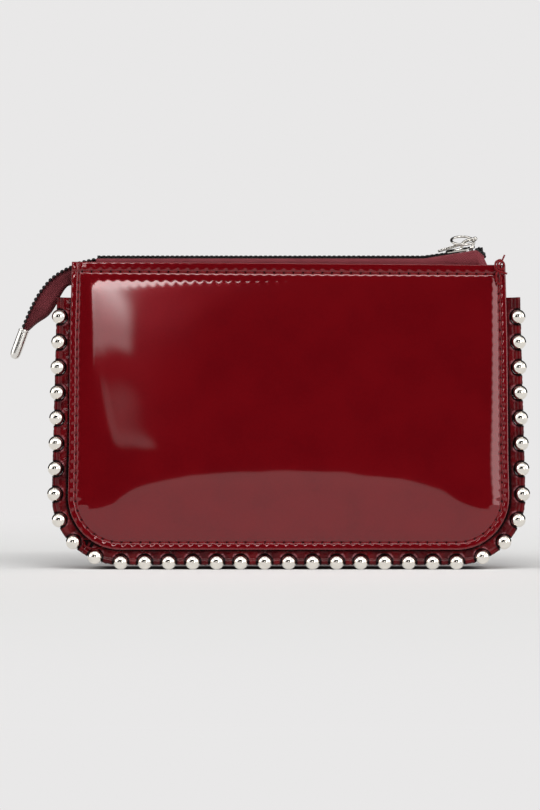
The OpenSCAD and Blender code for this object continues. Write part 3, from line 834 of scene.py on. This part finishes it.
def loop_shade_disc():
    """A near-black disc deep inside the oval: painted shade of the strip's folded-in end."""
    verts = [lean_in(-89.4 + 4.4 * math.cos(2 * math.pi * i / 24) * math.cos(math.radians(-17)),
                     11.6 + 4.4 * math.cos(2 * math.pi * i / 24) * math.sin(math.radians(-17))
                     + 1.9 * math.sin(2 * math.pi * i / 24), -STRIP_BACK + 0.62) for i in range(24)]
    verts += [(x, y + 0.8, z) for x, y, z in verts]
    faces = [tuple(range(24)), tuple(reversed(range(24, 48)))]
    faces += [(i, (i + 1) % 24, (i + 1) % 24 + 24, i + 24) for i in range(24)]
    o = new_piece("painted_loop_shade", verts, faces)
    # painted shade: the whole disc is set near black
    layer = o.data.attributes.new("channel", "FLOAT", "POINT")
    layer.data.foreach_set("value", [1.0] * 48)
    outward(o)
    return o


short_strip = join("bead_strip_left", [short_strip, splice_loop(), loop_shade_disc()])
finish_piece(long_strip, STRIP, "front_half", "casing_leather", "bead_casing_main")
finish_piece(short_strip, STRIP, "front_half", "casing_leather", "bead_casing_left")

front = panel()
rear = mirrored(front, "rear_panel_leather")
finish_piece(front, LEATHER, "front_half", "patent_leather", "front_panel")
finish_piece(rear, LEATHER, "rear_half", "patent_leather", "rear_panel")

row_r = CORNER_R - SIDE_ROW
row_len = CX + row_r * TURN + (TOP - TOP_ROW - PITCH / 2 - CZ)
count = int(row_len / PITCH)
edge_row = sew("front_edge_stitches", [edge_point(row_r, i * PITCH) for i in range(-count, count + 1)])
half = side_x(row_r, TOP - TOP_ROW) - PITCH / 2
count = int(half / PITCH)
top_row = sew("front_top_stitches", [(i * PITCH, TOP - TOP_ROW, 0.0) for i in range(-count, count + 1)])


def knot():
    """The thread's end at the top right corner, tied in a loose bow with a short tail."""
    def at(x, z, out):
        return lean_in(x, z, out)
    x, z = 96.6, TOP - 2.4
    rough = lambda t: 1 + 0.18 * math.sin(40 * t)
    loop = [at(x + 2.0 * math.cos(a) - 0.4, z + 2.6 * math.sin(a) + 0.4, 1.5 + 0.3 * math.sin(2 * a))
            for a in [math.radians(d) for d in range(-100, 275, 18)]]
    second = [at(x + 0.2 + 1.5 * math.cos(a), z + 0.6 + 1.9 * math.sin(a), 2.1)
              for a in [math.radians(d) for d in range(0, 350, 22)]]
    tail_end = curve_through([at(x - 1.2, z - 0.4, 2.2), at(x, z + 1.2, 2.6), at(x + 1.0, z + 3.3, 2.4),
                              at(x + 1.9, z + 5.2, 2.0)])
    low = curve_through([at(x - 0.9, z - 1.5, 1.5), at(x - 1.9, z - 3.6, 1.9), at(x - 1.6, z - 6.6, 1.7),
                         at(x - 0.3, z - 8.3, 1.5), at(x + 0.3, z - 5.6, 1.8), at(x - 0.5, z - 2.4, 1.7)])
    ends = [at(x - 1.9, z - 1.4, 1.5), at(x + 0.4, z - 2.5, 1.9), at(x + 3.0, z - 3.2, 1.3)]
    return [tube("knot", loop, 0.5, taper=rough), tube("knot", second, 0.46, taper=rough),
            tube("knot", tail_end, 0.38, taper=rough), tube("knot", low, 0.42, taper=rough),
            tube("knot", curve_through(ends), 0.46, taper=rough)]


for o, what in ((edge_row, "perimeter"), (top_row, "top")):
    back = mirrored(o, f"rear_{what}_stitches")
    if what == "top":
        o = join(o.name, [o] + knot())
    finish_piece(o, THREAD, "front_half", "thread", f"front_{what}_stitching")
    finish_piece(back, THREAD, "rear_half", "thread", f"rear_{what}_stitching")


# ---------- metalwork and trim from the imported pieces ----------

def broken_edges(node, name, width, segments=2, angle=35):
    o = cad_copy(node, name)
    apply(o, "BEVEL", width=width * MM, segments=segments, limit_method="ANGLE",
          angle_limit=math.radians(angle), harden_normals=False, use_clamp_overlap=True)
    smooth(o, 35)
    return o


for node, name, width, metal, slot, body in (
    ("slider_body", "slider_casting", 0.16, SLIDER_METAL, "slider_metal", "slider"),
    ("pull_link", "slotted_link", 0.22, SLIDER_METAL, "slider_metal", "pull_link"),
):
    finish_piece(broken_edges(node, name, width), metal, body, slot, node)


def slider_bridge():
    """The bridge that carries the link: a bent bar with a round knob at its high end."""
    bar = curve_through([(79.6, 0, 146.6), (80.0, 0, 149.0), (81.6, 0, 150.3), (84.0, 0, 151.0),
                         (85.6, 0, 151.3)], 5)
    leg = curve_through([(84.9, 0, 150.9), (85.2, 0, 149.6), (84.6, 0, 147.4)], 5)
    o = join("slider_bridge", [tube("bar", bar, 0.72, 12), tube("leg", leg, 0.7, 12)])
    for v in o.data.vertices:
        v.co.y *= 1.5
    clear()
    bpy.ops.mesh.primitive_uv_sphere_add(segments=20, ring_count=14, radius=1.05 * MM,
                                         location=(0.0858, 0, 0.1513))
    knob = settle(named("knob"))
    smooth(knob, 60)
    return join("slider_bridge", [o, knob])


RING_R = 5.1
RING_WIRE = 1.12
RING_LEAN = math.radians(25)


def round_ring():
    """The ring that hangs from the bridge, its near side a little lower."""
    clear()
    bpy.ops.mesh.primitive_torus_add(major_radius=RING_R * MM, minor_radius=RING_WIRE / 2 * MM,
                                     major_segments=56, minor_segments=12)
    o = named("round_ring")
    o.rotation_euler = (RING_LEAN, 0, 0)
    o.location = (0.080, 0, 0.1505)
    settle(o)
    return smooth(o, 60)


def chain_end():
    """The last loose teeth beyond the slider, as (x, z, radius)."""
    loose = [(86.6, 145.6, 0.9), (87.6, 144.7, 1.0), (88.6, 145.0, 0.85), (89.3, 144.0, 1.0),
             (89.8, 142.9, 0.8), (88.2, 146.2, 0.6), (87.2, 146.9, 0.5)]
    pieces = []
    for i, (x, z, r) in enumerate(loose):
        clear()
        at = Vector((x, -4.4 + 0.5 * (i % 3), z)) * MM
        bpy.ops.mesh.primitive_uv_sphere_add(segments=12, ring_count=8, radius=r * MM, location=at)
        lump = named("chain_end")
        lump.rotation_euler = (0.3 * i, 0.7 * i, 0.2)
        settle(lump)
        for v in lump.data.vertices:
            v.co.z += 0.18 * r * MM * noise.noise(v.co * 2500)
        pieces.append(smooth(lump, 60))
    return pieces


finish_piece(slider_bridge(), SLIDER_METAL, "slider", "slider_metal", "slider_crown")
finish_piece(round_ring(), SLIDER_METAL, "pull_ring", "slider_metal", "pull_ring")


# ---------- loose tail of the zip ----------

UPPER = [(-86.8, 142.3), (-90.0, 141.9), (-96.5, 140.4), (-99.3, 138.9), (-104.0, 136.7), (-109.7, 132.6),
         (-115.0, 126.0), (-118.7, 119.2), (-121.4, 113.0), (-122.6, 109.5)]
LOWER = [(-86.8, 132.0), (-90.0, 131.5), (-96.5, 130.6), (-99.6, 130.1), (-102.0, 129.2), (-104.6, 125.5),
         (-107.4, 120.1), (-110.6, 115.9), (-115.8, 112.4), (-119.9, 108.8)]


def tail_tape():
    """Both tapes of the tail folded together, rolled under along the lower edge."""
    upper = curve_through([(x, 0, z) for x, z in UPPER], 7)
    lower = curve_through([(x, 0, z) for x, z in LOWER], 7)
    cross = 14
    front, back = [], []
    for i, (a, b) in enumerate(zip(upper, lower)):
        run = i / (len(upper) - 1)
        for k in range(cross + 1):
            t = k / cross
            p = a.lerp(b, t)
            fold = -1.2 * math.sin(math.pi * t) * (0.4 + 0.6 * math.sin(math.pi * run))
            fold += 1.3 * max(0.0, t - 0.82) / 0.18 * (0.6 + 0.4 * run) + 0.35 * math.sin(9 * t + 5 * run)
            p.y = fold
            front.append(p.copy())
            back.append(p + Vector((0, 1.1, 0)))
    n = cross + 1
    rows = len(upper)
    base = len(front)
    faces = []
    for i in range(rows - 1):
        for k in range(cross):
            q = i * n + k
            faces.append((q, q + 1, q + n + 1, q + n))
            faces.append((base + q, base + q + n, base + q + n + 1, base + q + 1))
    for i in range(rows - 1):
        for k in (0, cross):
            q = i * n + k
            faces.append((q, q + n, base + q + n, base + q))
    for i in (0, rows - 1):
        for k in range(cross):
            q = i * n + k
            faces.append((q, q + 1, base + q + 1, base + q))
    o = new_piece("tail_tape_folded", front + back, faces)
    outward(o)
    apply(o, "SUBSURF", levels=1, render_levels=1)
    return smooth(o, 60)


def tail_teeth(name, side):
    """Teeth clamped along the tail's upper edge."""
    line = curve_through([(x, 0, z) for x, z in UPPER], 12)
    clear()
    bpy.ops.mesh.primitive_uv_sphere_add(segments=12, ring_count=8, radius=1)
    model = settle(named("tail_tooth"))
    for v in model.data.vertices:
        v.co = Vector((v.co.x * 0.95, v.co.y * 1.1, v.co.z * 0.78)) * MM
    row, walked, due = [], 0.0, 0.6
    for a, b in zip(line, line[1:]):
        step = (b - a).length
        while due < walked + step:
            p = a.lerp(b, (due - walked) / step)
            way = (b - a).normalized()
            heading = math.atan2(-way.z, way.x)
            out = Vector((way.z, 0, -way.x))
            at = (p + out * (-0.35 if out.z > 0 else 0.35) + Vector((0, 0.9 * side - 0.4, 0))) * MM
            place = Matrix.Translation(at) @ Matrix.Rotation(heading, 4, "Y")
            row.append(copy_of(model, "tooth_copy", place))
            due += TOOTH_PITCH
        walked += step
    bpy.data.objects.remove(model)
    o = join(name, row)
    return smooth(o, 60)


def end_cap():
    """Turned cap on the tail: a rolled lip, a straight barrel and a domed end."""
    profile = [(0.0, -0.3), (1.55, -0.3), (1.62, 0.5), (2.1, 0.45), (2.42, 0.12), (2.5, 0.35),
               (2.44, 0.75), (2.3, 1.0), (2.32, 1.4), (2.38, 3.0), (2.4, 8.0), (2.38, 11.0),
               (2.25, 12.2), (1.85, 13.2), (1.1, 13.9), (0.0, 14.1)]      # radius, depth from the mouth
    sides = 40
    verts, faces = [], []
    for r, d in profile:
        for k in range(sides):
            t = 2 * math.pi * k / sides
            verts.append((r * math.cos(t), r * math.sin(t), -d))
    for i in range(len(profile) - 1):
        for k in range(sides):
            q = (k + 1) % sides
            faces.append((i * sides + k, i * sides + q, (i + 1) * sides + q, (i + 1) * sides + k))
    o = new_piece("turned_end_cap", verts, faces)
    pick(o)
    bpy.ops.object.mode_set(mode="EDIT")
    bpy.ops.mesh.select_all(action="SELECT")
    bpy.ops.mesh.remove_doubles(threshold=1e-6)
    bpy.ops.object.mode_set(mode="OBJECT")
    o.rotation_euler = (0, math.atan2(4.7, 13.0), 0)
    o.location = Vector((-121.6, 0.2, 109.4)) * MM
    settle(o)
    outward(o)
    return smooth(o, 40)


def tape_with_painted_shade(nodes, place):
    """The tail's tape: the same ribs, with the shade of its fold painted in as darker clouds."""
    made = build_tape(nodes, place)
    cloud = noise_at(nodes, place, 90, 2.0)
    # painted shade: the ribs darkened in clouds towards a deep red
    made["Base Color"] = (cloud.step(0.2, 0.9) * 0.5 + 0.25).mix(made["Base Color"], rgb(58, 16, 20))
    return made


TAIL_TAPE = surface("tail_tape_painted_shade", tape_with_painted_shade, Sheen_Weight=0.05, Specular_IOR_Level=0.15)
finish_piece(tail_tape(), TAIL_TAPE, "zip_tail", "zip_tape", "tail_tape_front", "tail_tape_rear")
finish_piece(tail_teeth("tail_teeth_near", -1), TEETH, "zip_tail", "zip_teeth",
             "tail_teeth_front", "tail_stop")
finish_piece(tail_teeth("tail_teeth_far", 1), TEETH, "zip_tail", "zip_teeth", "tail_teeth_rear")
finish_piece(end_cap(), CAP_METAL, "zip_tail", "cap_metal", "tail_end_cap")


HEAD_Y = 2.12                                     # rounded heads from the chain's middle


def tooth_heads(node, name, side):
    """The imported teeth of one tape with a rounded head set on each."""
    line = [Vector(p) for p in ((-87.2, 0, CHAIN_Z), (62.0, 0, CHAIN_Z), (74.0, 0, CHAIN_Z + 1.68))]
    clear()
    bpy.ops.mesh.primitive_uv_sphere_add(segments=12, ring_count=8, radius=1)
    model = settle(named("tooth_head"))
    for v in model.data.vertices:
        v.co = Vector((v.co.x * 0.82, v.co.y * 0.75, v.co.z * 0.95)) * MM
    row, walked, due = [cad_copy(node, "teeth_as_packed")], 0.0, 0.4
    for a, b in zip(line, line[1:]):
        step = (b - a).length
        while due < walked + step:
            p = a.lerp(b, (due - walked) / step)
            at = (p + Vector((0, HEAD_Y * side, 0))) * MM
            row.append(copy_of(model, "head_copy", Matrix.Translation(at)))
            due += TOOTH_PITCH
        walked += step
    bpy.data.objects.remove(model)
    return smooth(join(name, row), 40)


for side, half in ((-1, "front"), (1, "rear")):
    row = tooth_heads(f"zip_teeth_{half}", f"{half}_tooth_row", side)
    finish_piece(row, TEETH, f"{half}_half", "zip_teeth", f"zip_teeth_{half}")
stop = cad_copy("top_stop_front", "chain_end_lumps")
lumps = join("chain_end_lumps", [stop] + chain_end())
finish_piece(lumps, TEETH, "front_half", "zip_teeth", "top_stop_front")


EDGE_DROP = 0.55                                  # the tape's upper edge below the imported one
END_DROP = 3.0                                    # its far corner


def tape_cut_back(node, name):
    """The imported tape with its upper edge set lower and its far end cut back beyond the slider."""
    o = cad_copy(node, name)
    bpy.ops.object.mode_set(mode="EDIT")
    bpy.ops.mesh.select_all(action="SELECT")
    bpy.ops.mesh.bisect(plane_co=(0.0862, 0, 0), plane_no=(1, 0, 0))
    bpy.ops.object.mode_set(mode="OBJECT")
    for v in o.data.vertices:
        if v.co.x < 70 * MM and v.co.z > 140.5 * MM:
            v.co.z -= EDGE_DROP * MM
        if v.co.x > 87 * MM and v.co.z > 143 * MM:
            v.co.z -= END_DROP * MM
            v.co.x -= 0.6 * MM
    return o


for half in ("front", "rear"):
    finish_piece(tape_cut_back(f"zip_tape_{half}", f"{half}_tape_woven"), TAPE, f"{half}_half", "zip_tape",
                 f"zip_tape_{half}")

plain = {
    "front_gusset": GUSSET, "rear_gusset": GUSSET,
    "bead_cord": THREAD,
    "top_stop_rear": TEETH, "front_lining": LINING, "rear_lining": LINING,
    "front_gusset_lining": LINING, "rear_gusset_lining": LINING, "card_pocket_rear": LINING,
    "card_pocket_front": LINING, "front_stiffener": BOARD, "rear_stiffener": BOARD,
}
for node, material in plain.items():
    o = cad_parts[node]
    for slot in o.material_slots:
        slot.material = material
    if not o.material_slots:
        o.data.materials.append(material)


# ---------- studio ----------

def studio_floor():
    clear()
    bpy.ops.mesh.primitive_plane_add(size=1)
    o = named("studio_floor")
    for v in o.data.vertices:
        v.co = Vector((v.co.x * 8, -FLOOR_FRONT if v.co.y < 0 else 8.0, 0))
    material = bpy.data.materials.new("pale_floor")
    material.use_nodes = True
    tree = material.node_tree
    nodes = Node(tree)
    shader = tree.nodes["Principled BSDF"]
    shader.inputs["Roughness"].default_value = 0.9
    shader.inputs["Specular IOR Level"].default_value = 0.0
    place = nodes.make("ShaderNodeTexCoord", out=3)
    shade = noise_at(nodes, place, 3.0).mix((0.85, 0.85, 0.85, 1), (0.838, 0.838, 0.838, 1))
    x, y, _ = place.split()
    glossy = nodes.make("ShaderNodeLightPath", out=3)
    # painted shadow: a near-black patch on the floor under the pouch
    under = (x * 1000).within(-88, 88, 6) * (y * 1000).within(-9.5, 11, 2.5)
    nodes.put(shader.inputs["Base Color"], (under * 0.9).mix(shade, (0.02, 0.018, 0.018, 1)))
    glow = nodes.make("ShaderNodeEmission", Color=rgb(233, 232, 232), Strength=1.0)
    camera = nodes.make("ShaderNodeLightPath", out=0)
    away = ((x * x + y * y) ** 0.5).step(0.12, 0.55)
    share = camera * away + glossy * 0.6
    out = nodes.make("ShaderNodeMixShader", i0=share, i1=Node(tree, shader.outputs[0]), i2=glow)
    tree.links.new(out.socket, tree.nodes["Material Output"].inputs[0])
    o.data.materials.append(material)
    return o


FLOOR_FRONT = 0.9


def studio_light():
    world = bpy.data.worlds.new("studio")
    bpy.context.scene.world = world
    world.use_nodes = True
    tree = world.node_tree
    tree.nodes.clear()
    nodes = Node(tree)
    way = nodes.make("ShaderNodeTexCoord", out=0)
    x, y, z = way.split()
    toward = 0 - y                                  # 1 towards the camera
    turn = nodes.maths("ARCTAN2", x, toward) * (180 / math.pi)
    lift = nodes.maths("ARCSINE", z) * (180 / math.pi)
    # white tent, dimmer low down and overhead
    level = 0.28 + lift.step(8, 18) * 0.62 - z.step(0.6, 1.0) * 0.3
    # softbox above and in front
    high = turn.within(-60, 55, 6) * lift.within(46, 66, 3.0)
    spark = turn.within(-14, 34, 5) * lift.within(47, 53, 1.0)
    level = level + high * 2.2 + spark * 8
    # bright walls far to each side, then a dark opening in front
    sides = abs(turn).within(56, 110, 8) * lift.within(-40, 35, 8)
    level = level + sides * 1.5
    hole = (((turn + 2) / 40) ** 2 + ((lift - 2) / 43) ** 2) ** 0.5
    level = level * (0.01 + hole.step(0.86, 1.0) * 0.99)
    # bright wall inside the opening, to the right
    wall = turn.within(20, 42, 2) * lift.within(-14, 24, 4.0)
    level = level + wall * 3.0
    # lit table low in the opening, its edge out of true
    ragged = nodes.make("ShaderNodeTexNoise", Vector=way, Scale=26.0, Detail=3.0) - 0.5
    edge = lift + ragged * 1.8 + (turn / 7.6) ** 2 * 2.6
    table = (1 - edge.step(0.9, 1.5)) * (turn + ragged * 2.5).within(-8.6, 9.6, 0.4)
    level = level.maths("MAXIMUM", level, table * (0.86 - (0 - lift).step(0, 9) * 0.25))
    # dark backdrop beyond the tent, behind the pouch
    behind = y.within(0.2, 1.2, 0.06)
    level = level * (1 - behind * z.step(-0.03, 0.02) * 0.96)
    # slanting strip light beside the camera, and its dim second panel
    left_edge = (turn + 15.4 - lift * 0.71).step(-0.25, 0.25)
    right_edge = (turn + 9.1 - lift * 0.41).step(-0.25, 0.25)
    inside = left_edge * (1 - right_edge)
    level_lift = lift - (turn + 10.2) * 0.225 + ragged * 0.5
    strength = level_lift.step(6.0, 6.5) * 2.4 + level_lift.step(6.8, 9.8) * 8.5
    box = inside * strength * (1 - lift.step(20.0, 21.5))
    low = (turn + ragged * 1.5).within(-9.4, -6.2, 0.4) * (lift + ragged).within(5.0, 5.7, 0.25) * 0.75
    level = level + box + low
    back = nodes.make("ShaderNodeBackground", Color=(1, 0.995, 0.985, 1), Strength=level)
    pale = nodes.make("ShaderNodeBackground", Color=rgb(233, 232, 232), Strength=1.0)
    camera = nodes.make("ShaderNodeLightPath", out=0)
    mixed = nodes.make("ShaderNodeMixShader", i0=camera, i1=back, i2=pale)
    out = tree.nodes.new("ShaderNodeOutputWorld")
    tree.links.new(mixed.socket, out.inputs[0])


def camera_at(distance, x, z, height):
    data = bpy.data.cameras.new("camera")
    o = bpy.data.objects.new("camera", data)
    bpy.context.collection.objects.link(o)
    o.location = (x, -distance, z)
    o.rotation_euler = (math.pi / 2, 0, 0)
    data.sensor_fit = "VERTICAL"
    data.sensor_height = 24
    data.lens = 24 * distance / height
    data.clip_start, data.clip_end = 0.05, 50
    bpy.context.scene.camera = o


studio_floor()
studio_light()
camera_at(1.1, -0.0085, 0.0749, 0.3726)
bpy.context.scene.view_settings.view_transform = "Standard"
